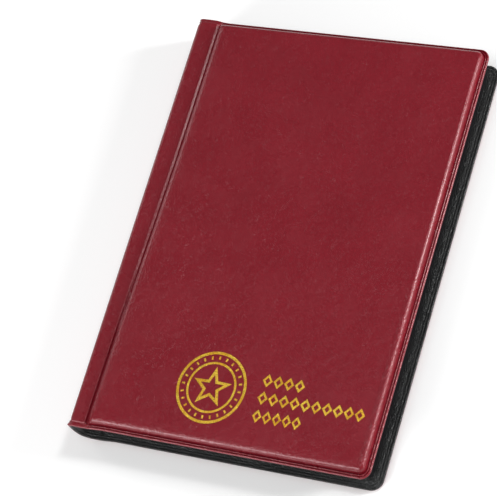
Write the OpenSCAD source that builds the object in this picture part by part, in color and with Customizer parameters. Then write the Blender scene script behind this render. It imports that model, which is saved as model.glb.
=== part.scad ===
// Coin album: two welded vinyl covers, a hinged spine and ten pocket leaves.
// It lies closed on its back cover. X runs from the spine to the fore-edge, Y up the
// spine from tail to head, and Z up through the leaves. The origin is under the middle.

/* [Album] */
// Width of the closed album, from the spine's face to the fore-edge
album_w = 130; // [120:1:150]
// Height of the spine, tail to head
album_h = 180; // [170:1:210]
// How far the spine stands past a cover at the head, and at the tail
spine_proud = 0.4; // [0:0.1:1]
// Corner radius of the front cover at the fore-edge
front_corner_r = 4; // [2:0.5:8]
// Corner radius of the back cover at the fore-edge
back_corner_r = 5; // [2:0.5:8]

/* [Covers] */
// Thickness of a cover between its flat faces, and of a strip
cover_t = 2; // [1.8:0.1:3]
// Thickness of the vinyl skin over a board
skin_t = 0.5; // [0.3:0.1:0.6]
// Thickness of the black lining over a board
lining_t = 0.4; // [0.3:0.1:0.5]
// Width of the welded rim around a board
rim_w = 3; // [2:0.5:5]
// How much closer boards and padding come to the groove than to the other edges
spine_side = 1.8; // [0:0.1:1.8]
// Height of the front cover's welded rim
rim_t = 1.2; // [1:0.1:1.4]
// How far the padding rises above the strip beside it
pad_rise = 2.5; // [1.5:0.1:4]

/* [Hinges] */
// Distance of a hinge groove from the spine's face
groove_x = 8.2; // [7:0.1:12]
// Half of the width of a groove at its top
groove_half_w = 1.6; // [1.2:0.1:2]
// Half of the slit between the two webs of a groove
web_slit = 0.25; // [0.25:0.05:0.4]
// Thickness of the thin web at the bottom of a groove
web_t = 0.4; // [0.3:0.1:0.5]
// Gap between the spine wall and the rounded end of a strip
knuckle_gap = 0.1; // [0.1:0.05:0.3]

/* [Leaves] */
// Thickness of a leaf: black backing with a pocket film on each side
leaf_t = 1; // [0.8:0.1:1.1]
// Distance from one leaf to the next
leaf_pitch = 1.2; // [1.1:0.1:1.6]
// Gap between the outermost leaves and the covers
stack_gap = 0.5; // [0.4:0.1:1]
// Thickness of the black backing sheet
backing_t = 0.2; // [0.1:0.05:0.3]
// Thickness of the clear film
film_t = 0.12; // [0.1:0.01:0.15]
// Length of the free film between the spine and the backing sheet
margin_l = 10.5; // [9.5:0.5:12]
// Part of the free film that is rigid with the leaf
margin_stub = 5.5; // [3:0.5:6]
// Length of a binding fin on the spine
fin_l = 2.2; // [1:0.1:2.4]
// Distance from one column of pockets to the next
column_pitch = 37.8; // [36:0.1:40]
// Distance from one row of pockets to the next
row_pitch = 44; // [40:0.1:46]
// Width of the welded line beside a pocket
weld_w = 1.6; // [1:0.1:3]
// Height of one pocket
pocket_h = 36; // [34:0.1:38]

/* [Foil] */
// Radius of the round emblem
emblem_r = 14.7; // [8:0.1:18]
// Distance of the emblem's centre from the spine's face
emblem_x = 57.6; // [50:0.1:62]
// Distance of the emblem's centre from the tail
emblem_y = 24.3; // [22:0.1:40]
// Width of a foil line
foil_line = 1.1; // [0.6:0.1:1.6]
// Height of a band of lozenges
band_h = 5.3; // [3:0.1:6]
// Distance of the bands' start from the spine's face
band_x = 77.75; // [74:0.25:85]

/* [Hidden] */
leaf_count = 10;
column_count = 3;
row_count = 4;
// Height of the closed album between the outer faces of its two strips
stack_h = 2 * cover_t + 2 * stack_gap + leaf_count * leaf_pitch;
front_z = stack_h - cover_t;
// A strip turns on the spine about the centre of its rounded end
knuckle_r = cover_t / 2;
pad_top = stack_h + pad_rise;
foil_t = 0.1;
cover_h = album_h - 2 * spine_proud;
// A cover starts past its groove and ends at the fore-edge
cover_x = groove_x + groove_half_w;
web_z = cover_t - rim_t / 2;
web_w = groove_half_w - web_slit;
strip_end = groove_x - groove_half_w;
// Width of the step that joins the back skin to its web
riser_w = 0.6;
// Places of the leaves
leaf_w = column_count * column_pitch;
leaf_h = (row_count - 1) * row_pitch + pocket_h + weld_w;
leaf_x = cover_t + margin_l;
leaf_y = (album_h - leaf_h) / 2;
pocket_w = column_pitch - weld_w;
film_rise = (leaf_t - backing_t) / 2;
// Each foil band: its length and the height of its lower edge above the tail
bands = [[18.25, 28.1], [45.45, 21], [20.95, 13.6]];
lozenge_pitch = 4.5;
red = [0.45, 0.07, 0.11];
black = [0.06, 0.06, 0.07];
card = [0.62, 0.58, 0.5];
foam = [0.85, 0.84, 0.78];
film = [0.8, 0.85, 0.9, 0.4];
gold = [0.85, 0.65, 0.2];
eps = 0.01;

function two(k) = str(k < 10 ? "0" : "", k);
function leaf_nodes(k) = [for (kind = ["backing", "front_pockets", "back_pockets"])
    str("leaf_", two(k), "_", kind)];

// ---- Outlines and profiles ----

function arc(x, y, r, from, to, steps = 6) =
    [for (i = [0:steps]) let (a = from + (to - from) * i / steps) [x + r * cos(a), y + r * sin(a)]];

// Outline of a cover, drawn in by some inset on three sides and by another beside the
// spine, with rounded corners at the fore-edge
function cover_outline(inset, r, spine_inset) =
    let (x0 = cover_x + spine_inset, x1 = album_w - inset, y0 = spine_proud + inset,
         y1 = album_h - spine_proud - inset, q = max(r - inset, 1))
    concat([[x0, y0]], arc(x1 - q, y0 + q, q, -90, 0), arc(x1 - q, y1 - q, q, 0, 90), [[x0, y1]]);

module in_row_frame() {
    translate([-album_w / 2, -album_h / 2, 0]) children();
}

module cover_plate(inset, r, z, t, spine_inset = 0) {
    translate([0, 0, z]) linear_extrude(t) polygon(cover_outline(inset, r, spine_inset));
}

// The place of a board inside a cover, or of the hollow that holds it
module board_plate(inset, r, z, t) {
    cover_plate(inset, r, z, t, inset - spine_side);
}

// Extrudes an X-Z profile along the spine
module along_spine(points, length) {
    translate([0, (album_h + length) / 2, 0])
        rotate([90, 0, 0]) linear_extrude(length) polygon(points);
}

// Turns a solid of the back half upside down into the front half
module to_front_half() {
    translate([0, 0, stack_h]) mirror([0, 0, 1]) children();
}

// A cover's side of the groove: a thin web up to the slit
module cover_web(z, t) {
    translate([groove_x + web_slit, spine_proud, z]) cube([web_w + eps, cover_h, t]);
}

// ---- Back cover ----

module back_skin() color(red) in_row_frame() {
    difference() {
        union() {
            cover_plate(0, back_corner_r, 0, cover_t / 2);
            cover_web(web_z - web_t / 2, web_t / 2);
            translate([cover_x, spine_proud, cover_t / 2 - eps])
                cube([riser_w, cover_h, web_z - cover_t / 2 + eps]);
        }
        board_plate(rim_w, back_corner_r, skin_t, cover_t);
    }
}

module back_board() color(card) in_row_frame()
    board_plate(rim_w, back_corner_r, skin_t, cover_t - skin_t - lining_t);

module back_lining() color(black) in_row_frame() {
    difference() {
        union() {
            cover_plate(0, back_corner_r, cover_t / 2, cover_t / 2);
            cover_web(web_z, web_t / 2);
        }
        board_plate(rim_w, back_corner_r, 0, cover_t - lining_t);
        translate([cover_x - eps, 0, 0]) cube([riser_w + eps, album_h, web_z]);
    }
}

// ---- Strips between the grooves and the spine ----

strip_skin_profile = concat(
    arc(knuckle_r, knuckle_r, knuckle_r, 180, 270),
    [[strip_end, 0], [strip_end + 0.4, web_z - web_t / 2],
     [groove_x - web_slit, web_z - web_t / 2], [groove_x - web_slit, web_z],
     [strip_end, web_z], [strip_end - 0.4, knuckle_r]]
);

strip_lining_profile = concat(
    arc(knuckle_r, knuckle_r, knuckle_r, 90, 180),
    [[strip_end - 0.4, knuckle_r], [strip_end, web_z], [groove_x - web_slit, web_z],
     [groove_x - web_slit, web_z + web_t / 2], [strip_end + 0.4, web_z + web_t / 2],
     [strip_end, cover_t]]
);

module back_strip_skin() color(red) in_row_frame() along_spine(strip_skin_profile, album_h);
module back_strip_lining() color(black) in_row_frame() along_spine(strip_lining_profile, album_h);
module front_strip_skin() color(red) in_row_frame() to_front_half()
    along_spine(strip_skin_profile, album_h);
module front_strip_lining() color(black) in_row_frame() to_front_half()
    along_spine(strip_lining_profile, album_h);

// ---- Spine wall ----

module spine_layer(x, t, end_inset) {
    z = cover_t + knuckle_gap + end_inset;
    translate([x, 0, z]) cube([t, album_h, stack_h - 2 * z]);
}

module spine_skin() color(red) in_row_frame() spine_layer(0, skin_t, 0);
module spine_board() color(card) in_row_frame()
    spine_layer(skin_t, cover_t - skin_t - lining_t, 0.2);
module spine_lining() color(black) in_row_frame() spine_layer(cover_t - lining_t, lining_t, 0);

function leaf_z(k) = stack_h - cover_t - stack_gap - leaf_pitch * (k - 0.5);

// The welded ends of the leaves' films: one strip on the spine with a fin for each leaf
module binding_comb() color(film) in_row_frame() {
    base_t = 0.3;
    translate([cover_t, leaf_y, leaf_z(leaf_count) - 0.5])
        cube([base_t, leaf_h, leaf_z(1) - leaf_z(leaf_count) + 1]);
    for (k = [1:leaf_count])
        translate([cover_t + base_t - eps, leaf_y, leaf_z(k) - film_t])
            cube([fin_l + eps, leaf_h, 2 * film_t]);
}

// ---- Front cover ----

// The padded form: each row is an inset from the cover's edge and a height
pad_steps = [[2.8, 0], [3.1, 0.45], [4.1, 0.85], [6, 1]];

module pad_form(shrink, base_z, top_z) {
    hull()
        for (s = pad_steps)
            board_plate(s[0] + shrink, front_corner_r, base_z + s[1] * (top_z - base_z) - eps, eps);
}

module front_skin() color(red) in_row_frame() {
    rim_z = front_z + rim_t / 2;
    board_z = front_z + lining_t;
    difference() {
        union() {
            cover_plate(0, front_corner_r, rim_z, rim_t / 2);
            cover_web(stack_h - web_z, web_t / 2);
            pad_form(0, front_z + rim_t - 0.3, pad_top - foil_t);
        }
        pad_form(skin_t, front_z + rim_t, pad_top - foil_t - skin_t);
        board_plate(rim_w + 0.3, front_corner_r, board_z, rim_t);
    }
}

module front_foam_pad() color(foam) in_row_frame()
    difference() {
        pad_form(skin_t, front_z + rim_t, pad_top - foil_t - skin_t);
        cover_plate(0, front_corner_r, front_z, lining_t + rim_t);
    }

module front_board() color(card) in_row_frame()
    board_plate(rim_w + 0.3, front_corner_r, front_z + lining_t, rim_t);

module front_lining() color(black) in_row_frame() {
    difference() {
        union() {
            cover_plate(0, front_corner_r, front_z, rim_t / 2);
            cover_web(stack_h - web_z - web_t / 2, web_t / 2);
        }
        board_plate(rim_w + 0.3, front_corner_r, front_z + lining_t, rim_t);
    }
}

// ---- Foil on the front cover: a coin-like emblem and three bands of lozenges ----

function ring_points(r, n) = [for (i = [0:n - 1]) [r * cos(360 * i / n), r * sin(360 * i / n)]];
function star_points(r) = [for (i = [0:9]) let (q = i % 2 == 0 ? r : 0.42 * r, a = 90 + 36 * i)
    [q * cos(a), q * sin(a)]];

module foil_ring(r, line) {
    difference() {
        linear_extrude(foil_t) polygon(ring_points(r, 48));
        translate([0, 0, -foil_t]) linear_extrude(3 * foil_t) polygon(ring_points(r - line, 48));
    }
}

module foil_emblem() color(gold) in_row_frame()
    translate([emblem_x, emblem_y, pad_top - foil_t]) {
        foil_ring(emblem_r, foil_line);
        foil_ring(0.71 * emblem_r, 0.8 * foil_line);
        for (a = [0:15:345])
            rotate(a) translate([0.78 * emblem_r, -0.3 * foil_line, 0])
                cube([0.09 * emblem_r, 0.6 * foil_line, foil_t]);
        difference() {
            linear_extrude(foil_t) polygon(star_points(0.58 * emblem_r));
            translate([0, 0, -foil_t]) linear_extrude(3 * foil_t)
                polygon(star_points(0.36 * emblem_r));
        }
    }

module foil_band(i) color(gold) in_row_frame() {
    length = bands[i][0];
    count = round(length / lozenge_pitch);
    pitch = length / count;
    half_w = pitch / 2 - 0.15;
    for (n = [0:count - 1])
        translate([band_x + pitch * (n + 0.5), bands[i][1] + band_h / 2, pad_top - foil_t])
            difference() {
                linear_extrude(foil_t)
                    polygon([[half_w, 0], [0, band_h / 2], [-half_w, 0], [0, -band_h / 2]]);
                translate([0, 0, -foil_t]) linear_extrude(3 * foil_t) scale(0.5)
                    polygon([[half_w, 0], [0, band_h / 2], [-half_w, 0], [0, -band_h / 2]]);
            }
}

// ---- Leaves: leaf 1 is next to the front cover ----

module leaf_backing(k) color(black) in_row_frame()
    translate([leaf_x, leaf_y, leaf_z(k) - backing_t / 2]) cube([leaf_w, leaf_h, backing_t]);

module at_pockets() {
    for (c = [0:column_count - 1], r = [0:row_count - 1])
        translate([leaf_x + (c + 0.5) * column_pitch, leaf_y + weld_w / 2 + r * row_pitch, 0]) children();
}

// One side's clear film: flat where it is welded, raised over twelve pockets whose
// upper ends are open
module pocket_film() {
    difference() {
        union() {
            translate([leaf_x, leaf_y, backing_t / 2]) cube([leaf_w, leaf_h, film_t]);
            translate([leaf_x - margin_stub, leaf_y, 0])
                cube([margin_stub, leaf_h, backing_t / 2 + film_t]);
            at_pockets() translate([-pocket_w / 2, 0, backing_t / 2])
                cube([pocket_w, pocket_h, film_rise]);
        }
        at_pockets() translate([-pocket_w / 2 + film_t, film_t, backing_t / 2 - eps])
            cube([pocket_w - 2 * film_t, pocket_h, film_rise - film_t + eps]);
    }
}

module leaf_front_pockets(k) color(film) in_row_frame()
    translate([0, 0, leaf_z(k)]) pocket_film();
module leaf_back_pockets(k) color(film) in_row_frame()
    translate([0, 0, leaf_z(k)]) mirror([0, 0, 1]) pocket_film();

back_skin();
back_board();
back_lining();
back_strip_skin();
back_strip_lining();
spine_skin();
spine_board();
spine_lining();
binding_comb();
front_strip_skin();
front_strip_lining();
front_skin();
front_foam_pad();
front_board();
front_lining();
foil_emblem();
for (i = [0:2])
    foil_band(i);
for (k = [1:leaf_count]) {
    leaf_backing(k);
    leaf_front_pockets(k);
    leaf_back_pockets(k);
}
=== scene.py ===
"""Looks of the coin album: padded vinyl covers, hinged spine and clear pocket leaves.

Shapes are in millimetres until a mesh is made; materials, lights and camera are in metres.
u runs from the spine's face to the fore-edge, v from the tail to the head, and z up, as in
the frame.
"""

import math

import bmesh
import bpy
from mathutils import Matrix, Vector, noise

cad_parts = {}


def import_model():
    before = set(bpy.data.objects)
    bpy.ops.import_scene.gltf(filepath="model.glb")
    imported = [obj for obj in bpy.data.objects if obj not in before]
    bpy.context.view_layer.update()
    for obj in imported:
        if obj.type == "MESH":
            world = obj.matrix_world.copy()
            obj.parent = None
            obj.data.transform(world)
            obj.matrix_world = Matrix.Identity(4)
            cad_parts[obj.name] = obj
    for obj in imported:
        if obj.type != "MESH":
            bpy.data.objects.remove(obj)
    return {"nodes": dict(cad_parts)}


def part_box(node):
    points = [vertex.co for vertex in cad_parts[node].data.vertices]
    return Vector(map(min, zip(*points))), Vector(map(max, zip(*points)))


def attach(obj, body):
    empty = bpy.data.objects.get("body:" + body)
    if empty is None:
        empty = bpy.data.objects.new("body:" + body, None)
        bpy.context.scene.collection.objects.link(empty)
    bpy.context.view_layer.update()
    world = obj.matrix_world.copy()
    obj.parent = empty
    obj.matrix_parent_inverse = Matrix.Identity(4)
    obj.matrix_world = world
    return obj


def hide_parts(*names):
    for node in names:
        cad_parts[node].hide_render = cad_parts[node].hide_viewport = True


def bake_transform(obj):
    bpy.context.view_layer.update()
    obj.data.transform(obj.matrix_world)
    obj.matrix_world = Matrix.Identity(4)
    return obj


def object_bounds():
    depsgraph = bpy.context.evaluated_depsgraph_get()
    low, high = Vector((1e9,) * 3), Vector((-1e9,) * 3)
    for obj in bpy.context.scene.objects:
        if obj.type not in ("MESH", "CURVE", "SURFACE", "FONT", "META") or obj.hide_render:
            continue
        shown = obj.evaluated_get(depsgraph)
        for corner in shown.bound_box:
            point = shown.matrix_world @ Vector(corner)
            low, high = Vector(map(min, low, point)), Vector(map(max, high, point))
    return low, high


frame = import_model()
cad_lo, cad_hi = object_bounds()

MM = 0.001


def box_mm(node):
    """Lowest and highest corner of a CAD node, in millimetres."""
    lo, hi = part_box(node)
    return lo / MM, hi / MM


# ---------------------------------------------------------------- places from the frame
SPINE_X = box_mm("spine_skin")[0].x
TAIL_Y = box_mm("spine_skin")[0].y
ALBUM_W = cad_hi.x / MM - SPINE_X
ALBUM_H = cad_hi.y / MM - TAIL_Y
STACK_H = box_mm("front_strip_skin")[1].z
WELD = STACK_H - box_mm("front_skin")[0].z  # how deep the weld plane lies in a cover
SPINE_INNER = box_mm("spine_lining")[1].x - SPINE_X
COVER_INSET = box_mm("front_skin")[0].y - TAIL_Y
LEAF_LO, LEAF_HI = box_mm("leaf_01_backing")
LEAF_COUNT = sum(name.endswith("_backing") for name in frame["nodes"])

# ---------------------------------------------------------------- small tools
ROLL_POWER = 2.3  # how square the rounded edge of a pad is: 2 is a quarter circle
SHARP_FROM = math.radians(40)  # edges at a bigger angle are shaded sharp


def clamp(x, lo=0.0, hi=1.0):
    return min(max(x, lo), hi)


def smooth(x):
    x = clamp(x)
    return x * x * (3 - 2 * x)


def mix(a, b, t):
    return a + (b - a) * t


def curve(points, x):
    """A smooth line through (x, y) points, level beyond its ends."""
    if x <= points[0][0]:
        return points[0][1]
    for (x0, y0), (x1, y1) in zip(points, points[1:]):
        if x <= x1:
            return mix(y0, y1, smooth((x - x0) / (x1 - x0)))
    return points[-1][1]


def straight(points, x):
    """A broken line through (x, y) points, level beyond its ends."""
    for (x0, y0), (x1, y1) in zip(points, points[1:]):
        if x <= x1:
            return mix(y0, y1, clamp((x - x0) / (x1 - x0)))
    return points[-1][1]


def roll(x):
    """The rounded edge of a pad: 0 at its foot, 1 on its top."""
    return (1 - (1 - clamp(x)) ** ROLL_POWER) ** (1 / ROLL_POWER)


def spread(start, end, count):
    """count + 1 even steps from start to end."""
    return [mix(start, end, i / count) for i in range(count + 1)]


def to_frame(u, v, z):
    return ((SPINE_X + u) * MM, (TAIL_Y + v) * MM, z * MM)


def new_object(name, verts, faces, material):
    mesh = bpy.data.meshes.new(name)
    mesh.from_pydata(verts, [], faces)
    mesh.validate()
    work = bmesh.new()
    work.from_mesh(mesh)
    bmesh.ops.recalc_face_normals(work, faces=work.faces)
    for face in work.faces:
        face.smooth = True
    for edge in work.edges:
        edge.smooth = edge.calc_face_angle(0) < SHARP_FROM
    work.to_mesh(mesh)
    work.free()
    mesh.materials.append(material)
    obj = bpy.data.objects.new(name, mesh)
    bpy.context.scene.collection.objects.link(obj)
    return obj


def closed_sheet(name, top, bottom, faces, material):
    """A closed solid between two sheets with the same faces, and a wall at their border."""
    n = len(top)
    used = {}
    for face in faces:
        for a, b in zip(face, face[1:] + face[:1]):
            key = (min(a, b), max(a, b))
            used[key] = None if key in used else (a, b)
    walls = [(b, a, a + n, b + n) for a, b in (e for e in used.values() if e)]
    under = [tuple(i + n for i in reversed(face)) for face in faces]
    upper = [tuple(face) for face in faces]
    return new_object(name, top + bottom, upper + under + walls, material)


def grid_faces(rows, columns):
    return [
        [i * columns + j, (i + 1) * columns + j, (i + 1) * columns + j + 1, i * columns + j + 1]
        for i in range(rows - 1)
        for j in range(columns - 1)
    ]


def place(piece, slot_name, *nodes):
    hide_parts(*nodes)


# ---------------------------------------------------------------- materials


class Nodes:
    """A short way to build a material's node tree."""

    def __init__(self, name):
        self.material = bpy.data.materials.new(name)
        self.material.use_nodes = True
        self.tree = self.material.node_tree
        self.shader = self.tree.nodes["Principled BSDF"]
        coords = self.tree.nodes.new("ShaderNodeTexCoord")
        self.place = coords.outputs["Object"]

    def add(self, kind, inputs=None, **settings):
        node = self.tree.nodes.new(kind)
        for key, value in settings.items():
            setattr(node, key, value)
        for key, value in (inputs or {}).items():
            self.feed(node.inputs[key], value)
        return node

    def feed(self, socket, value):
        if isinstance(value, bpy.types.NodeSocket):
            self.tree.links.new(value, socket)
        else:
            socket.default_value = value

    def set(self, **values):
        for key, value in values.items():
            self.feed(self.shader.inputs[key.replace("_", " ")], value)

    def scaled(self, scale, turn=0.0):
        """The place in the object, turned about z and then stretched."""
        turned = self.add("ShaderNodeMapping", {"Vector": self.place, "Rotation": (0, 0, turn)})
        inputs = {"Vector": turned.outputs["Vector"], "Scale": scale}
        return self.add("ShaderNodeMapping", inputs).outputs["Vector"]

    def noise(self, scale, detail=2.0, rough=0.5, vector=None, distortion=0.0):
        """Noise of that many cells per metre, from 0 to 1."""
        inputs = {"Vector": vector or self.place, "Scale": scale, "Detail": detail}
        inputs.update({"Roughness": rough, "Distortion": distortion})
        return self.add("ShaderNodeTexNoise", inputs).outputs["Fac"]

    def cells(self, scale, feature="DISTANCE_TO_EDGE", vector=None):
        inputs = {"Vector": vector or self.place, "Scale": scale}
        return self.add("ShaderNodeTexVoronoi", inputs, feature=feature).outputs["Distance"]

    def ramp(self, value, low, high, out_low=0.0, out_high=1.0):
        inputs = {"Value": value, "From Min": low, "From Max": high}
        inputs.update({"To Min": out_low, "To Max": out_high})
        return self.add("ShaderNodeMapRange", inputs).outputs["Result"]

    def math(self, operation, a, b=0.0):
        return self.add("ShaderNodeMath", {0: a, 1: b}, operation=operation).outputs[0]

    def blend(self, fac, a, b):
        node = self.add("ShaderNodeMix", data_type="RGBA")
        self.feed(node.inputs["Factor"], fac)
        self.feed(node.inputs["A"], a)
        self.feed(node.inputs["B"], b)
        return node.outputs["Result"]

    def bump(self, height, distance, normal=None):
        inputs = {"Height": height, "Distance": distance}
        if normal:
            inputs["Normal"] = normal
        return self.add("ShaderNodeBump", inputs).outputs["Normal"]


PEBBLES_PER_M = 1500.0  # cells of the embossed grain, in vinyl and in the foil on it
PEBBLE_EDGE = 0.22  # the share of a cell that its rounded edge takes
WRINKLE_DEPTH = 0.00045
WRINKLES_START = 0.0048  # how far in from the fore-edge the wrinkles begin
WRINKLES_FULL = 0.0034  # and from where outwards they are at their full depth
COAT_ROUGHNESS = 0.16
RED_GLOSS = (1.0, 0.62, 0.66, 1)  # pigment in the glossy layer tints its reflections
PLAIN_GLOSS = (1, 1, 1, 1)


def fore_edge_wrinkles(n):
    """Fine slanted wrinkles on the rounded edge by the fore-edge, in its tail half."""
    place = n.add("ShaderNodeSeparateXYZ", {"Vector": n.place}).outputs
    fore_edge = (SPINE_X + ALBUM_W) * MM
    near_edge = n.ramp(place["X"], fore_edge - WRINKLES_START, fore_edge - WRINKLES_FULL)
    tail_half = n.ramp(place["Y"], 0.01, -0.035)
    slanted = n.scaled((950.0, 220.0, 300.0), math.radians(35))
    amount = n.math("MULTIPLY", near_edge, tail_half)
    return n.math("MULTIPLY", n.noise(1.0, 2.0, 0.5, slanted), amount)


def vinyl(name, dark, light, rough, grain_depth, crease_depth, coat):
    """Embossed vinyl: fine pebble grain, faint creases and a little wear in its gloss."""
    n = Nodes(name)
    # pebbles: cells whose places wobble a little
    warp = n.add("ShaderNodeMix", data_type="VECTOR", blend_type="MIX")
    wobble = n.add("ShaderNodeTexNoise", {"Vector": n.place, "Scale": 260.0, "Detail": 2.0})
    n.feed(warp.inputs["Factor"], 0.0025)
    n.feed(warp.inputs["A"], n.place)
    n.feed(warp.inputs["B"], wobble.outputs["Color"])
    pebbles = n.cells(PEBBLES_PER_M, vector=warp.outputs["Result"])
    pebble = n.ramp(pebbles, 0.0, PEBBLE_EDGE)
    fine = n.noise(5200.0, 3.0, 0.6)
    # creases: thin lines where a stretched noise crosses its middle, in patches
    stretched = n.scaled((70.0, 330.0, 200.0), math.radians(16))
    wave = n.noise(1.0, 3.0, 0.6, stretched, 0.25)
    line = n.math("ABSOLUTE", n.math("SUBTRACT", wave, 0.5))
    crease = n.ramp(line, 0.0, 0.02, 1.0, 0.0)
    patch = n.ramp(n.noise(24.0, 2.0), 0.46, 0.62)
    creases = n.math("MULTIPLY", crease, patch)
    first = n.bump(pebble, grain_depth)
    second = n.bump(fine, grain_depth * 0.35, normal=first)
    normal = n.bump(n.math("MULTIPLY", creases, -1.0), crease_depth, normal=second)
    # colour: broad and fine tones, with painted shade darkening the grain's valleys and the creases
    broad = n.math("MULTIPLY", n.noise(45.0, 4.0, 0.6), 0.55)
    mottle = n.math("MULTIPLY", n.noise(900.0, 3.0, 0.6), 0.45)
    colour = n.blend(n.ramp(n.math("ADD", broad, mottle), 0.3, 0.7), dark, light)
    valley_shade = n.ramp(pebble, 0.0, 1.0, 0.35, 0.0)
    shaded = n.math("MAXIMUM", valley_shade, n.math("MULTIPLY", creases, 0.1))
    colour = n.blend(shaded, colour, tuple(c * 0.55 for c in dark[:3]) + (1.0,))
    gloss = n.ramp(n.noise(70.0, 3.0, 0.6), 0.3, 0.7, rough - 0.05, rough + 0.06)
    n.set(Base_Color=colour, Roughness=gloss, Normal=normal)
    n.set(Specular_IOR_Level=0.5, Specular_Tint=RED_GLOSS if coat else PLAIN_GLOSS)
    n.set(Coat_Weight=coat, Coat_Roughness=COAT_ROUGHNESS)
    if coat:
        wrinkled = fore_edge_wrinkles(n)
        n.set(Coat_Normal=n.bump(wrinkled, WRINKLE_DEPTH))
        n.set(Normal=n.bump(wrinkled, WRINKLE_DEPTH, normal=normal))
    return n.material


def gold_foil():
    """Hot-stamped foil: it follows the grain and carries painted dark reflections as darker,
    rougher specks.
    """
    n = Nodes("gold_foil")
    # painted reflection: dark specks in the foil colour stand in for dark reflections
    painted_reflection = n.ramp(n.noise(1900.0, 4.0, 0.7), 0.36, 0.5)
    broad = n.noise(220.0, 2.0, 0.5)
    bright = n.blend(n.ramp(broad, 0.35, 0.65), (0.86, 0.47, 0.03, 1), (1.0, 0.72, 0.08, 1))
    dark_reflection_colour = (0.42, 0.2, 0.03, 1)
    colour = n.blend(painted_reflection, dark_reflection_colour, bright)
    normal = n.bump(n.ramp(n.cells(PEBBLES_PER_M), 0.0, PEBBLE_EDGE), 0.00004)
    n.set(Base_Color=colour, Roughness=n.ramp(painted_reflection, 0.0, 1.0, 0.5, 0.3), Normal=normal)
    n.set(Metallic=0.85, Specular_IOR_Level=0.6)
    return n.material


def see_through(n, solid):
    """Mixes a material with clear, by how solid it is."""
    clear = n.add("ShaderNodeBsdfTransparent", {"Color": (0.97, 0.98, 0.99, 1)})
    mixed = n.add("ShaderNodeMixShader", {0: n.math("MINIMUM", solid, 1.0)})
    n.tree.links.new(clear.outputs[0], mixed.inputs[1])
    n.tree.links.new(n.shader.outputs[0], mixed.inputs[2])
    output = n.tree.nodes["Material Output"]
    n.tree.links.new(mixed.outputs[0], output.inputs["Surface"])


def clear_film():
    """Soft clear vinyl: mostly see-through, glossy, with faint ripples and haze."""
    n = Nodes("clear_film")
    ripple = n.noise(70.0, 2.0, 0.4)
    normal = n.bump(ripple, 0.0003, normal=n.bump(n.noise(900.0, 2.0), 0.000008))
    haze = n.ramp(n.noise(60.0, 3.0, 0.6), 0.3, 0.7, 0.015, 0.05)
    n.set(Base_Color=(0.3, 0.31, 0.32, 1), Normal=normal)
    n.set(Roughness=n.ramp(n.noise(300.0, 2.0), 0.3, 0.7, 0.06, 0.14))
    fresnel = n.add("ShaderNodeFresnel", {"IOR": 1.5, "Normal": normal})
    see_through(n, n.math("ADD", n.math("MULTIPLY", fresnel.outputs[0], 0.8), haze))
    return n.material


def weld_film():
    """The pressed weld lines of the film: milky, with a fine ribbed pattern."""
    n = Nodes("weld_film")
    ribs = n.add("ShaderNodeTexWave", {"Vector": n.scaled((700.0, 700.0, 1.0)), "Scale": 1.0})
    normal = n.bump(ribs.outputs["Fac"], 0.00006)
    colour = n.blend(n.noise(800.0, 3.0), (0.36, 0.37, 0.38, 1), (0.6, 0.61, 0.63, 1))
    n.set(Base_Color=colour, Roughness=n.ramp(n.noise(500.0), 0.3, 0.7, 0.25, 0.4), Normal=normal)
    see_through(n, n.ramp(ribs.outputs["Fac"], 0.0, 1.0, 0.3, 0.62))
    return n.material


def black_sheet():
    n = Nodes("black_sheet")
    colour = n.blend(n.noise(300.0, 4.0, 0.6), (0.006, 0.006, 0.007, 1), (0.014, 0.014, 0.015, 1))
    normal = n.bump(n.noise(2500.0, 3.0, 0.6), 0.00003)
    n.set(Base_Color=colour, Roughness=n.ramp(n.noise(90.0, 3.0), 0.3, 0.7, 0.42, 0.55))
    n.set(Normal=normal, Specular_IOR_Level=0.28)
    return n.material


def greyboard():
    n = Nodes("greyboard")
    fibres = n.noise(1.0, 5.0, 0.7, n.scaled((600.0, 2600.0, 2600.0)))
    colour = n.blend(n.ramp(fibres, 0.35, 0.65), (0.27, 0.24, 0.2, 1), (0.46, 0.42, 0.36, 1))
    n.set(Base_Color=colour, Roughness=n.ramp(fibres, 0.3, 0.7, 0.82, 0.95))
    n.set(Normal=n.bump(fibres, 0.0001))
    return n.material


def foam():
    n = Nodes("foam")
    pores = n.ramp(n.cells(1100.0, "F1"), 0.05, 0.6)
    # the pores' hollows are painted darker: painted shade
    colour = n.blend(pores, (0.5, 0.47, 0.38, 1), (0.8, 0.78, 0.7, 1))
    n.set(Base_Color=colour, Roughness=n.ramp(pores, 0.0, 1.0, 0.98, 0.88))
    n.set(Normal=n.bump(pores, 0.0003))
    return n.material


RED_DARK = (0.15, 0.0045, 0.0105, 1)
RED_LIGHT = (0.192, 0.0085, 0.0165, 1)
RED = vinyl("red_vinyl", RED_DARK, RED_LIGHT, 0.27, 0.000032, 0.00003, 0.17)
BLACK_DARK = (0.006, 0.0065, 0.0065, 1)
BLACK_LIGHT = (0.016, 0.0165, 0.0165, 1)
BLACK = vinyl("black_vinyl", BLACK_DARK, BLACK_LIGHT, 0.36, 0.00011, 0.00016, 0.0)
FOIL = gold_foil()
FILM = clear_film()
WELDED = weld_film()
SHEET = black_sheet()
BOARD = greyboard()
FOAM = foam()

for node_name in ("front_board", "back_board"):
    frame["nodes"][node_name].data.materials.clear()
    frame["nodes"][node_name].data.materials.append(BOARD)

# ---------------------------------------------------------------- covers and strips
# w is a height over the plane in which skin and lining are welded, outwards for the
# skin and inwards for the lining.

CUT_U = 4.5  # where a cover's skin ends, halfway across the strip
GRID_U = 14.5  # where the rings round the cover start
RING_DEPTH = 12.0  # how far in the rings reach
GROOVE_TAIL_U = 8.1  # the groove runs a little out of line with the spine
GROOVE_HEAD_U = 10.3
GROOVE_TURN_V = 140.0  # beyond this it runs straight
FRONT_R = 4.2
BACK_R = 5.0
SKIN_T = 0.45
HOLLOW_FROM = 2.5  # the skin is solid down to the weld plane up to here, then hollow
CORNER_SPAN = 6.0  # how much of a ring's side turns into its rounded corner

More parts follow.
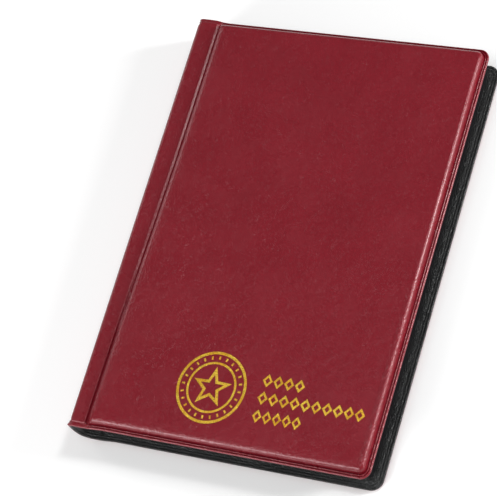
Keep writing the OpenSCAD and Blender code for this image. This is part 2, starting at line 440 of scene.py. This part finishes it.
RINGS = [0, 0.06, 0.14, 0.26, 0.4, 0.56, 0.7, 0.82, 0.94, 1.06, 1.18, 1.3, 1.42, 1.54]
RINGS += [1.66, 1.78, 1.92, 2.06, 2.22, 2.4, 2.6, 2.82, 3.1, 3.45, 3.9, 4.4, 5.0, 5.8]
RINGS += [6.8, 8.2, 10.0, RING_DEPTH]

# the welded rim, by distance from the edge: lip, groove, thin ridge, groove
RIM = [(0, 0), (0.06, 0.3), (0.14, 0.43), (0.26, 0.55), (0.4, 0.62), (0.56, 0.58)]
RIM += [(0.7, 0.36), (0.82, 0.05), (0.94, 0.05), (1.06, 0.34), (1.18, 0.5), (1.3, 0.6)]
RIM += [(1.42, 0.6), (1.54, 0.36), (1.66, 0.05)]
PAD_FOOT = 1.7  # where the padding starts
TAIL_ROLL = 6.0  # how wide its rounded edge is at the tail, by the spine
TAIL_ROLL_FAR = 3.6  # and by the fore-edge
HEAD_ROLL = 2.6
FORE_ROLL = 1.6
# the same at the end of a strip: a broad lip and one thin seam
STRIP_RIM = [(0, 0), (0.06, 0.4), (0.24, 0.62), (0.5, 0.68), (1.35, 0.62), (1.6, 0.5)]
STRIP_RIM += [(1.8, 0.78), (1.94, 0.78), (2.15, 0.5)]
# and the rim of the lining inside a cover, with its two shallow weld lines
LINING_RIM = [(0, 0), (0.08, 0.3), (0.3, 0.5), (0.6, 0.52), (1.1, 0.38), (1.7, 0.52)]
LINING_RIM += [(2.1, 0.36), (2.6, 0.5), (3.2, 0.6)]
# across the groove, by distance from its middle: the strip's side is a broad slope near
# the head and the wall of a narrow slot near the tail
STRIP_SIDE_HEAD = [(-2.6, 1.2), (-1.3, 1.12), (-0.35, 0.64), (-0.15, 0.15), (0, 0.05)]
STRIP_SIDE_TAIL = [(-2.6, 1.2), (-1.0, 1.15), (-0.8, 0.95), (-0.6, 0.1), (0, 0.05)]
FRONT_SIDE = [(0, 0.05), (0.25, 0.12), (0.45, 0.85), (0.75, 1.6), (1.15, 2.35), (1.7, 3.0)]
FRONT_SIDE += [(2.3, 3.42), (3.0, 3.66), (4.2, 3.8)]
BACK_SIDE = [(0, 0.05), (0.3, 0.2), (0.7, 0.75), (1.2, 1.15), (1.9, 1.34), (2.8, 1.4)]


def groove_u(v):
    return mix(GROOVE_TAIL_U, GROOVE_HEAD_U, smooth(v / GROOVE_TURN_V))


def near_head(v):
    return smooth((v - 30) / 45)


class Cover:
    """Heights of one cover and its strip: the skin's outer face, and the lining's."""

    PADDED_OVER = 2.0  # only a cover with a pad higher than this has a pillow edge

    def __init__(self, corner_r, side, seed):
        self.corner_r = corner_r
        self.side = side
        self.pad = side[-1][1]
        self.seed = seed

    def rim(self, u, v, d):
        toward_cover = smooth((u - groove_u(v) + 0.6) / 2.0)
        dome = 0.75 * roll(d / 0.9) + 0.25 * smooth((d - 0.6) / 1.6)
        strip = mix(curve(STRIP_RIM, d), dome, smooth((v - ALBUM_H / 2) / 9))
        return mix(strip, curve(RIM, d), toward_cover)

    def body(self, u, v, d):
        x = u - groove_u(v)
        if x < 0:
            return mix(straight(STRIP_SIDE_TAIL, x), straight(STRIP_SIDE_HEAD, x), near_head(v))
        foot = 0.2 / self.pad
        width = 2.0
        if self.pad > self.PADDED_OVER:
            fore_edge = smooth((edge_distance(v) - (ALBUM_W - u)) / 8 + 0.5)
            tail = mix(TAIL_ROLL, TAIL_ROLL_FAR, smooth((u - 50) / 50))
            width = mix(tail if v < ALBUM_H / 2 else HEAD_ROLL, FORE_ROLL, fore_edge)
        return straight(self.side, x) * mix(foot, 1.0, roll((d - PAD_FOOT) / width))

    def ripple(self, u, v, d):
        """Slow unevenness of the padding, and small tucks where it meets the weld."""
        inside = smooth((d - PAD_FOOT) / 1.5) * smooth((u - groove_u(v) - 0.6) / 2.5)
        slow = noise.noise(Vector((u * 0.028, v * 0.028, self.seed)))
        middle = noise.noise(Vector((u * 0.11, v * 0.11, self.seed + 7)))
        near_edge = smooth((d - PAD_FOOT) / 0.8) * (1 - smooth((d - 3.4) / 3.0))
        tucks = noise.noise(Vector((u * 0.42, v * 0.42, self.seed + 3)))
        amount = self.pad / FRONT_SIDE[-1][1]
        return inside * amount * (0.1 * slow + 0.035 * middle + 0.06 * near_edge * tucks)

    def skin(self, u, v, d):
        d *= 1 + 0.12 * smooth((v - ALBUM_H + 16) / 12)  # the rim is narrower at the head
        inside = smooth((d - PAD_FOOT + 0.1) / 0.6)
        w = mix(self.rim(u, v, d), self.body(u, v, d), inside)
        # a small pinch where the groove meets the weld line at the tail
        pinch = math.exp(-(((u - groove_u(v)) / 0.25) ** 2) - ((v - 3.4) / 0.8) ** 2)
        return w + 0.6 * pinch + self.ripple(u, v, d)

    def lining(self, u, v, d):
        x = u - groove_u(v)
        rim = curve(LINING_RIM, d)
        crease = 1 - 0.75 * math.exp(-((x / 0.45) ** 2)) * smooth((d - 2.2) / 1.0)
        waves = noise.noise(Vector((u * 0.06, v * 0.06, self.seed + 11)))
        return rim * crease - 0.03 * (1 + waves) * smooth((d - 3) / 3)


FRONT = Cover(FRONT_R, FRONT_SIDE, 2.0)
BACK = Cover(BACK_R, BACK_SIDE, 31.0)


HEAD_RISE = 0.45  # how much further the spine's head end stands out than its tail end
HEAD_RISE_V = 168  # where that begins


def flare(u, v):
    """The spine's ends stand a little past the covers, more so at the head."""
    ends = COVER_INSET * (1 - smooth((u - 8.0) / 7.0)) / (ALBUM_H / 2 - COVER_INSET)
    head = HEAD_RISE * smooth((v - HEAD_RISE_V) / 12) * (1 - smooth((u - 6) / 6))
    return ALBUM_H / 2 + (v - ALBUM_H / 2) * (1 + ends) + head


V_LOW = COVER_INSET + RING_DEPTH
V_HIGH = ALBUM_H - V_LOW
CORNER_STEPS = spread(0, CORNER_SPAN, 8)
INNER_V = [V_LOW + t for t in CORNER_STEPS]
INNER_V += spread(V_LOW + CORNER_SPAN, V_HIGH - CORNER_SPAN, 50)[1:-1]
INNER_V += [V_HIGH - t for t in reversed(CORNER_STEPS)]


def edge_distance(v):
    return min(v, ALBUM_H - v) - COVER_INSET


def corner_point(t, d, radius):
    """Where ring d passes at distance t from its corner's middle, measured from the square
    corner: how far along that side, and how far in."""
    r = radius * (1 - d / RING_DEPTH) ** 2.5
    turn = math.radians(45 * (1 - t / CORNER_SPAN))
    return d + r - r * math.sin(turn), d + r - r * math.cos(turn)


def build_plan(radius):
    """The whole plan: the strip and groove, the inner grid, and the rings round it."""
    points, index, faces = [], {}, []

    def add(u, v, d):
        key = (round(u, 4), round(v, 4))
        if key not in index:
            index[key] = len(points)
            points.append((u, v, d))
        return index[key]

    def join(low, high):
        for a, b, c, e in zip(low, low[1:], high[1:], high):
            corners = list(dict.fromkeys((a, b, c, e)))
            if len(corners) > 2:
                faces.append(corners)

    u_end = ALBUM_W - RING_DEPTH
    inner_u = spread(GRID_U, u_end - CORNER_SPAN, 34)[:-1]
    inner_u += [u_end - t for t in reversed(CORNER_STEPS)]

    offsets = [-2.0, -1.6, -1.3, -1.1, -0.95, -0.8, -0.65, -0.5, -0.38, -0.26, -0.13, 0]
    offsets += [0.13, 0.25, 0.36, 0.48, 0.62, 0.78, 0.98, 1.22, 1.5, 1.85, 2.25, 2.7, 3.3]

    def left_row(v, d):
        us = [CUT_U, 4.9] + [groove_u(v) + o for o in offsets] + [GRID_U]
        return [add(u, v, d) for u in us]

    # from tail to head over the strip and groove
    lows = [(COVER_INSET + d, d) for d in RINGS[:-1]]
    middle = [(v, edge_distance(v)) for v in INNER_V]
    highs = [(ALBUM_H - v, d) for v, d in reversed(lows)]
    rows = [left_row(v, d) for v, d in lows + middle + highs]
    for low, high in zip(rows, rows[1:]):
        join(low, high)

    # the inner grid
    grid = [[add(u, v, min(v, ALBUM_H - v, ALBUM_W + COVER_INSET - u) - COVER_INSET)
             for u in inner_u] for v in INNER_V]
    for low, high in zip(grid, grid[1:]):
        join(low, high)

    def ring(d):
        """Tail side, fore-edge and head side, with a point for each on the grid's border."""
        along = corner_point(CORNER_SPAN, d, radius)[0]
        tail = []
        for u in inner_u[:-1]:
            t = u_end - u
            if t > CORNER_SPAN:
                share = (u - GRID_U) / (u_end - CORNER_SPAN - GRID_U)
                tail.append((mix(GRID_U, ALBUM_W - along, share), COVER_INSET + d))
            else:
                x, y = corner_point(t, d, radius)
                tail.append((ALBUM_W - x, COVER_INSET + y))
        side = []
        for v in INNER_V:
            t = min(v - V_LOW, V_HIGH - v)
            if t > CORNER_SPAN:
                share = (v - V_LOW - CORNER_SPAN) / (V_HIGH - V_LOW - 2 * CORNER_SPAN)
                first = COVER_INSET + along
                side.append((ALBUM_W - d, mix(first, ALBUM_H - first, share)))
            else:
                x, y = corner_point(t, d, radius)
                at = COVER_INSET + x
                side.append((ALBUM_W - y, at if v < ALBUM_H / 2 else ALBUM_H - at))
        head = [(u, ALBUM_H - v) for u, v in reversed(tail)]
        return tail + side + head

    rings = [[add(u, v, d) for u, v in ring(d)] for d in RINGS[:-1]]
    border = grid[0][:-1] + [row[-1] for row in grid] + grid[-1][-2::-1]
    rings.append(border)
    for low, high in zip(rings, rings[1:]):
        join(low, high)
    return points, faces


def cover_pieces(cover, front):
    """The red skin and the black lining of a cover, each with half of its strip."""
    points, faces = build_plan(cover.corner_r)

    def height(w):
        return STACK_H - WELD + w if front else WELD - w

    def solid(name, outer, inner, material):
        top = [to_frame(u, flare(u, v), height(outer(u, v, d))) for u, v, d in points]
        under = [to_frame(u, flare(u, v), height(inner(u, v, d))) for u, v, d in points]
        return closed_sheet(name, top, under, faces, material)

    def skin_inside(u, v, d):
        return max(0.0, cover.skin(u, v, d) - SKIN_T) if d > HOLLOW_FROM else 0.0

    side = "front" if front else "back"
    skin = solid(side + "_cover_skin", cover.skin, skin_inside, RED)
    lining = solid(side + "_cover_lining", lambda u, v, d: -cover.lining(u, v, d),
                   lambda u, v, d: 0.0, BLACK)
    return skin, lining


def bend_at_groove(piece, front):
    """Bakes a cover piece's placement into its mesh; it does not bend it."""
    if front:
        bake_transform(piece)
    else:
        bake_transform(piece)


front_skin, front_lining = cover_pieces(FRONT, True)
back_skin, back_lining = cover_pieces(BACK, False)
place(front_skin, "red_vinyl", "front_skin", "front_strip_skin")
place(front_lining, "black_vinyl", "front_lining", "front_strip_lining")
place(back_skin, "red_vinyl", "back_skin", "back_strip_skin")
place(back_lining, "black_vinyl", "back_lining", "back_strip_lining")
for piece in (front_skin, front_lining):
    bend_at_groove(piece, True)
for piece in (back_skin, back_lining):
    bend_at_groove(piece, False)

# ---------------------------------------------------------------- spine
SPINE_MID_U = SPINE_INNER - 0.6  # the weld plane inside the spine's wall
FRONT_CORNER_R = 0.6  # radius of the weld plane where spine and strip meet
BACK_CORNER_R = 2.6
TAIL_FLARE = 2.2  # how far the soft end bulges at the tail
TAIL_FLARE_V = 3.8  # over this length
HEAD_FLARE = 0.5
HEAD_FLARE_V = 2.5


def spine_path(radius):
    """Points and outward directions of the weld plane, from the strip round the corner
    to the middle of the spine, with a share that is 0 on the strip and 1 on the spine."""
    u0 = SPINE_MID_U + radius
    z0 = STACK_H - WELD - radius
    path = [((u, STACK_H - WELD), (0, 1), 0.0) for u in spread(CUT_U, u0, 3)[:-1]]
    for angle in spread(90, 180, 12):
        a = math.radians(angle)
        out = (math.cos(a), math.sin(a))
        path.append(((u0 + radius * out[0], z0 + radius * out[1]), out, (angle - 90) / 90))
    for z in spread(z0, STACK_H / 2, 8)[1:]:
        path.append(((SPINE_MID_U, z), (-1, 0), 1.0))
    return path


def end_flare(v, z):
    """How far the spine's soft ends stand out past its wall, most at the tail."""
    tail = TAIL_FLARE * (1 - smooth(v / TAIL_FLARE_V))
    head = HEAD_FLARE * (1 - smooth((ALBUM_H - v) / HEAD_FLARE_V))
    return (tail + head) * (0.35 + 0.65 * math.sin(math.pi * z / STACK_H))


def spine_pieces(front):
    """Half of the spine with half of a strip: red skin and black lining."""
    low = [COVER_INSET + d for d in RINGS[:-1]]
    rows = low + INNER_V + [ALBUM_H - v for v in reversed(low)]
    path = spine_path(FRONT_CORNER_R if front else BACK_CORNER_R)
    cover = FRONT if front else BACK

    def solid(name, outer, inner, material):
        sheets = []
        for offset in (outer, inner):
            sheet = []
            for v in rows:
                for (u, z), out, share in path:
                    w = offset(v, share)
                    at_u = u + out[0] * w - end_flare(v, z) * smooth(share)
                    at_z = z + out[1] * w
                    sheet.append(to_frame(at_u, flare(0, v), at_z if front else STACK_H - at_z))
            sheets.append(sheet)
        return closed_sheet(name, sheets[0], sheets[1], grid_faces(len(rows), len(path)), material)

    def skin(v, share):
        d = edge_distance(v)
        strip = cover.skin(CUT_U, v, d)
        wall = mix(curve(STRIP_RIM, d) + 0.5 * smooth(d / 0.5), 1.4, smooth((d - 2.4) / 0.9))
        return mix(strip, wall, smooth(share))

    def lining(v, share):
        return -cover.lining(CUT_U, v, edge_distance(v))

    side = "front" if front else "back"

    def skin_inside(v, share):
        return (skin(v, share) - SKIN_T) * smooth((edge_distance(v) - HOLLOW_FROM) / 0.3)

    return (solid(side + "_spine_skin", skin, skin_inside, RED),
            solid(side + "_spine_lining", lining, lambda v, share: 0.0, BLACK))


def bend_at_corner(piece, front):
    """Bakes a spine piece's placement into its mesh; it does not bend it."""
    if front:
        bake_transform(piece)
    else:
        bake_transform(piece)


BOARD_INSET = 3.4  # the board ends this far short of the spine's ends
BOARD_EDGES = (0.0, 0.1, 0.3)  # steps over the eased edge of the board


def spine_board():
    """The stiff board in the spine's wall, between the skin and the weld plane."""
    u0, u1 = SKIN_T + 0.05, SPINE_MID_U - 0.05
    z0 = BACK_CORNER_R + WELD + 0.4
    z1 = STACK_H - WELD - FRONT_CORNER_R - 0.4
    ends = [BOARD_INSET + step for step in BOARD_EDGES]
    flat = BOARD_INSET + 0.8
    vs = ends + spread(flat, ALBUM_H - flat, 60) + [ALBUM_H - v for v in reversed(ends)]
    zs = [z0, z0 + 0.1, z0 + 0.3] + spread(z0 + 0.6, z1 - 0.6, 8) + [z1 - 0.3, z1 - 0.1, z1]
    sheets = []
    for face in (u0, u1):
        sheet = []
        for v in vs:
            for z in zs:
                edge = min(v - vs[0], vs[-1] - v, z - z0, z1 - z)
                ease = 0.15 * (1 - smooth(edge / 0.3))
                sheet.append(to_frame(face + (ease if face == u0 else -ease), v, z))
        sheets.append(sheet)
    faces = grid_faces(len(vs), len(zs))
    piece = closed_sheet("spine_core", sheets[0], sheets[1], faces, BOARD)
    place(piece, "greyboard", "spine_board")
    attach(piece, "spine")


spine_board()
for is_front in (True, False):
    skin_piece, lining_piece = spine_pieces(is_front)
    place(skin_piece, "red_vinyl", "spine_skin")
    place(lining_piece, "black_vinyl", "spine_lining")
    bend_at_corner(skin_piece, is_front)
    bend_at_corner(lining_piece, is_front)

# ---------------------------------------------------------------- foam under the front skin


FOAM_INSET = 3.2  # the foam starts this far from the cover's edge
FOAM_FROM_GROOVE = 3.0
FOAM_GAP = 0.06  # clear of the skin


def foam_pad():
    """The cushion inside the front cover: it fills the space between board and skin."""
    points, faces = build_plan(FRONT_R)
    board_top = box_mm("front_board")[1].z

    def inside(i):
        u, v, d = points[i]
        return d > FOAM_INSET and u - groove_u(v) > FOAM_FROM_GROOVE

    kept = [face for face in faces if all(inside(i) for i in face)]
    order = sorted({i for face in kept for i in face})
    number = {i: n for n, i in enumerate(order)}
    top, under = [], []
    for i in order:
        u, v, d = points[i]
        top.append(to_frame(u, v, STACK_H - WELD + FRONT.skin(u, v, d) - SKIN_T - FOAM_GAP))
        under.append(to_frame(u, v, board_top))
    faces = [[number[i] for i in face] for face in kept]
    pad = closed_sheet("front_foam", top, under, faces, FOAM)
    place(pad, "foam", "front_foam_pad")
    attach(pad, "front_cover")


foam_pad()

# ---------------------------------------------------------------- gold stamping
FOIL_T = 0.05
FOIL_SUNK = 0.03
LOZENGE_W = 4.5  # about, before a line is shared out evenly
EMBLEM = (57.6, 24.3)
EMBLEM_R = 14.7
LINES = [(18.25, 28.1), (45.45, 21.0), (20.95, 13.6)]  # length and lower edge of each line
LINES_U = 77.75
LINE_H = 5.3


class Stamp:
    """Collects flat shapes and lays them on the padded cover as thin foil."""

    def __init__(self):
        self.points, self.faces = [], []

    def rows(self, rows):
        """A patch from rows of (u, v) points."""
        base = len(self.points)
        columns = len(rows[0])
        for row in rows:
            self.points += row
        self.faces += [[base + i for i in face] for face in grid_faces(len(rows), columns)]

    def ring(self, outer, inner, layers=3):
        """The area between two closed outlines with the same number of points."""
        rows = [[(mix(a[0], b[0], t), mix(a[1], b[1], t)) for a, b in zip(outer, inner)]
                for t in spread(0, 1, layers)]
        base, n = len(self.points), len(outer)
        for row in rows:
            self.points += row
        for i in range(layers):
            for j in range(n):
                k = (j + 1) % n
                at = base + i * n
                self.faces.append([at + j, at + k, at + n + k, at + n + j])

    def finish(self, name, *nodes):
        sheets = []
        for offset in (FOIL_T, -FOIL_SUNK):
            sheet = []
            for u, v in self.points:
                d = min(edge_distance(v), ALBUM_W - u)
                z = STACK_H - WELD + FRONT.skin(u, v, d)
                sheet.append(to_frame(u, v, z + offset))
            sheets.append(sheet)
        piece = closed_sheet(name, sheets[0], sheets[1], self.faces, FOIL)
        place(piece, "gold_foil", *nodes)
        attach(piece, "front_cover")


def outline(corners, parts):
    """A closed outline with each side cut into equal parts."""
    path = []
    for a, b in zip(corners, corners[1:] + corners[:1]):
        path += [(mix(a[0], b[0], t), mix(a[1], b[1], t)) for t in spread(0, 1, parts)[:-1]]
    return path


def circle(centre, r, count):
    return [(centre[0] + r * math.cos(a), centre[1] + r * math.sin(a))
            for a in spread(0, 2 * math.pi, count)[:-1]]


def star(centre, r, notch, tips=5):
    corners = []
    for i in range(2 * tips):
        a = math.pi / 2 + i * math.pi / tips
        reach = r if i % 2 == 0 else r * notch
        corners.append((centre[0] + reach * math.cos(a), centre[1] + reach * math.sin(a)))
    return corners


def emblem():
    stamp = Stamp()
    for r, line in ((EMBLEM_R, 1.1), (EMBLEM_R * 0.71, 0.88)):
        stamp.ring(circle(EMBLEM, r, 120), circle(EMBLEM, r - line, 120), 2)
    for a in spread(0, 2 * math.pi, 24)[:-1]:
        out = Vector((math.cos(a), math.sin(a)))
        across = Vector((-out.y, out.x)) * 0.36
        rows = []
        for r in spread(EMBLEM_R * 0.78, EMBLEM_R * 0.87, 2):
            middle = Vector(EMBLEM) + out * r
            rows.append([tuple(middle - across), tuple(middle), tuple(middle + across)])
        stamp.rows(rows)
    outer = star(EMBLEM, EMBLEM_R * 0.58, 0.42)
    inner = star(EMBLEM, EMBLEM_R * 0.36, 0.42)
    stamp.ring(outline(outer, 6), outline(inner, 6))
    stamp.finish("foil_emblem_stamp", "foil_emblem")


def lozenges(name, node, length, low):
    count = round(length / LOZENGE_W)
    pitch = length / count
    stamp = Stamp()
    for i in range(count):
        centre = (LINES_U + (i + 0.5) * pitch, low + LINE_H / 2)
        half = (pitch / 2 - 0.15, LINE_H / 2)
        loops = []
        for size in (1.0, 0.5):
            x, y = half[0] * size, half[1] * size
            u, v = centre
            loops.append(outline([(u + x, v), (u, v + y), (u - x, v), (u, v - y)], 5))
        stamp.ring(loops[0], loops[1])
    stamp.finish(name, node)


emblem()
for number, (line_length, line_low) in enumerate(LINES, 1):
    lozenges(f"foil_line_{number}", f"foil_band_{number}", line_length, line_low)

# ---------------------------------------------------------------- leaves
COLUMNS, ROWS = 3, 4
FILM_STEPS = 9  # mesh steps across a pocket, between its seams
MARGIN_STEPS = 22  # mesh steps across the clear margin by the spine
MARGIN_WELDS = (7, 19, 20, 21)  # which of them are pressed as weld lines
POCKET_H = 36.0
ROW_PITCH = 44.0
WELD_W = 1.6
HEM_W = 0.9  # the pressed edge of a pocket's mouth
FILM_T = 0.05


def leaf_middle(number):
    """Height of the middle of a leaf's black sheet."""
    lo, hi = box_mm(f"leaf_{number:02}_backing")
    return (lo.z + hi.z) / 2


def sheet_wave(u, v, seed):
    return 0.05 * noise.noise(Vector((u * 0.03, v * 0.03, seed)))


def leaf_sheet(number, middle):
    """The black sheet between the pockets, with rounded corners."""
    u0, u1 = LEAF_LO.x - SPINE_X, LEAF_HI.x - SPINE_X
    v0, v1 = LEAF_LO.y - TAIL_Y, LEAF_HI.y - TAIL_Y
    r = 1.0
    vs = [v0 + r * (1 - math.cos(a)) for a in spread(0, math.pi / 2, 6)]
    vs += spread(v0 + r, v1 - r, 40)[1:-1]
    vs += [v1 - (v - v0) for v in reversed(vs[:7])]
    top, under = [], []
    shares = spread(0, 1, 30)
    for v in vs:
        end = max(0.0, r - min(v - v0, v1 - v))
        right = u1 - (r - math.sqrt(max(0.0, r * r - end * end)))
        for share in shares:
            u = mix(u0, right, share)
            z = middle + sheet_wave(u, v, number)
            top.append(to_frame(u, v, z + 0.1))
            under.append(to_frame(u, v, z - 0.1))
    faces = grid_faces(len(vs), len(shares))
    return closed_sheet(f"leaf_{number:02}_sheet", top, under, faces, SHEET)


def pocket_film(number, middle, side):
    """One face of a leaf: four strips of clear film, each welded into three pockets."""
    u0, u1 = LEAF_LO.x - SPINE_X + 0.2, LEAF_HI.x - SPINE_X - 1.5
    v0 = LEAF_LO.y - TAIL_Y + 0.8
    pitch = (u1 - u0 - WELD_W) / COLUMNS
    half = WELD_W / 2
    per_column = FILM_STEPS + 2
    us = []
    for column in range(COLUMNS + 1):
        seam = u0 + half + column * pitch
        us += [seam - half, seam, seam + half]
        if column < COLUMNS:
            us += spread(seam + half, seam + pitch - half, FILM_STEPS)[1:-1]
    vs = [0, half, WELD_W] + spread(WELD_W, POCKET_H - HEM_W, 9)[1:] + [POCKET_H]
    top, under, faces, welds = [], [], [], []
    for row in range(ROWS):
        base = len(top)
        for v_in in vs:
            v = v0 + row * ROW_PITCH + v_in
            for u in us:
                across = ((u - u0 - half) % pitch) / pitch
                edge = min(across, 1 - across) * pitch - half
                lift = smooth(edge / 7.0) * smooth((v_in - WELD_W) / 8.0)
                open_mouth = 1 + 0.25 * smooth((v_in - 28) / 8)
                gentle = noise.noise(Vector((u * 0.12, v * 0.12, number + side * 40)))
                height = 0.13 + lift * open_mouth * (0.2 + 0.06 * gentle)
                z = middle + sheet_wave(u, v, number) + side * height
                top.append(to_frame(u, v, z + side * FILM_T))
                under.append(to_frame(u, v, z))
        for face in grid_faces(len(vs), len(us)):
            faces.append([base + i for i in face])
            j = face[0] % len(us)
            i = face[0] // len(us)
            welds.append(i < 2 or i == len(vs) - 2 or j % per_column < 2)
    word = "front" if side > 0 else "back"
    piece = closed_sheet(f"leaf_{number:02}_{word}_film", top, under, faces, FILM)
    piece.data.materials.append(WELDED)
    for polygon, weld in zip(piece.data.polygons, welds + welds):
        polygon.material_index = int(weld)
    return piece


def margin_film(number, middle):
    """The clear edge of a leaf, from the weld at the spine to the black sheet."""
    u0 = SPINE_INNER + 0.3
    u1 = LEAF_LO.x - SPINE_X + 1.4
    us = spread(u0, u1, MARGIN_STEPS)
    vs = spread(LEAF_LO.y - TAIL_Y + 0.4, LEAF_HI.y - TAIL_Y - 0.4, 40)
    top, under = [], []
    for v in vs:
        for u in us:
            free = math.sin(math.pi * (u - u0) / (u1 - u0))
            wave = 0.12 * free * noise.noise(Vector((u * 0.1, v * 0.07, number + 80)))
            z = middle + wave + sheet_wave(u, v, number) * smooth((u - 6) / 6)
            top.append(to_frame(u, v, z + 0.08))
            under.append(to_frame(u, v, z - 0.08))
    piece = closed_sheet(f"leaf_{number:02}_margin", top, under, grid_faces(len(vs), len(us)), FILM)
    piece.data.materials.append(WELDED)
    for polygon in piece.data.polygons[: 2 * MARGIN_STEPS * (len(vs) - 1)]:
        polygon.material_index = int(polygon.index % MARGIN_STEPS in MARGIN_WELDS)
    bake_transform(piece)


for number in range(1, LEAF_COUNT + 1):
    leaf = f"leaf_{number:02}"
    middle = leaf_middle(number)
    sheet = leaf_sheet(number, middle)
    place(sheet, "black_sheet", leaf + "_backing")
    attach(sheet, leaf)
    for side, word in ((1, "front"), (-1, "back")):
        film = pocket_film(number, middle, side)
        place(film, "clear_film", f"{leaf}_{word}_pockets")
        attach(film, leaf)
    margin_film(number, middle)


def binding_weld():
    """The ribbed weld that holds the leaves' margins on the spine."""
    lo, hi = box_mm("binding_comb")
    middles = [leaf_middle(k) for k in range(1, LEAF_COUNT + 1)]
    zs, us = [], []
    for z in spread(lo.z, hi.z, 6 * LEAF_COUNT):
        near = min(abs(z - m) for m in middles)
        zs.append(z)
        us.append(SPINE_INNER + 0.12 + 0.35 * math.exp(-((near / 0.25) ** 2)))
    vs = spread(lo.y - TAIL_Y, hi.y - TAIL_Y, 220)
    top, under = [], []
    for i, v in enumerate(vs):
        for z, u in zip(zs, us):
            rib = 0.08 if i % 2 else 0.0
            top.append(to_frame(u + rib, v, z))
            under.append(to_frame(SPINE_INNER, v, z))
    piece = closed_sheet("binding_weld", top, under, grid_faces(len(vs), len(zs)), WELDED)
    place(piece, "clear_film", "binding_comb")
    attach(piece, "spine")


binding_weld()

# ---------------------------------------------------------------- stage, light, camera


FLOOR_GAP = 0.0003  # keeps the floor clear of the covers' ripples
WORLD_STRENGTH = 0.22


def floor():
    mesh = bpy.data.meshes.new("floor")
    half = 3.0
    corners = [(-half, -half, 0), (half, -half, 0), (half, half, 0), (-half, half, 0)]
    mesh.from_pydata(corners, [], [(0, 1, 2, 3)])
    n = Nodes("floor")
    colour = n.blend(n.noise(3.0, 3.0), (0.9, 0.9, 0.9, 1), (0.93, 0.93, 0.93, 1))
    n.set(Base_Color=colour, Roughness=0.7)
    mesh.materials.append(n.material)
    obj = bpy.data.objects.new("floor", mesh)
    bpy.context.scene.collection.objects.link(obj)
    obj.location.z = -FLOOR_GAP


def softbox(name, place_at, size, power, target=(0, 0, 0.01)):
    light = bpy.data.lights.new(name, "AREA")
    light.shape = "RECTANGLE"
    light.size, light.size_y = size
    light.energy = power
    obj = bpy.data.objects.new(name, light)
    bpy.context.scene.collection.objects.link(obj)
    obj.location = place_at
    aim = Vector(target) - Vector(place_at)
    obj.rotation_euler = aim.to_track_quat("-Z", "Y").to_euler()


def world():
    made = bpy.data.worlds.new("studio")
    made.use_nodes = True
    background = made.node_tree.nodes["Background"]
    background.inputs["Color"].default_value = (1, 1, 1, 1)
    background.inputs["Strength"].default_value = WORLD_STRENGTH
    bpy.context.scene.world = made


CAMERA_AT = Vector((0.43379, -0.30251, 0.86694))
CAMERA_RIGHT = Vector((0.88685, 0.28212, -0.36592))
CAMERA_UP = Vector((-0.13092, 0.91293, 0.38656))
CAMERA_LENS = 185.0


def camera():
    data = bpy.data.cameras.new("camera")
    data.lens = CAMERA_LENS
    data.sensor_width = 36
    data.clip_start, data.clip_end = 0.01, 20
    obj = bpy.data.objects.new("camera", data)
    bpy.context.scene.collection.objects.link(obj)
    right = CAMERA_RIGHT.normalized()
    back = right.cross(CAMERA_UP).normalized()
    up = back.cross(right)
    turn = Matrix((right, up, back)).transposed().to_4x4()
    obj.matrix_world = Matrix.Translation(CAMERA_AT) @ turn
    bpy.context.scene.camera = obj


floor()
world()
softbox("key", (0.1, -0.25, 1.3), (0.7, 0.7), 5.6)
softbox("groove_light", (0.5, 0.47, 1.0), (0.18, 0.2), 4.2)
softbox("fore_edge_light", (1.15, 0.38, 0.36), (0.2, 0.55), 17.0)
softbox("tail_light", (-0.5, -0.95, 0.5), (0.8, 0.2), 9.0)
softbox("spine_light", (-1.1, 0.42, 0.55), (0.3, 0.25), 1.5)
camera()
bpy.context.scene.view_settings.view_transform = "Standard"
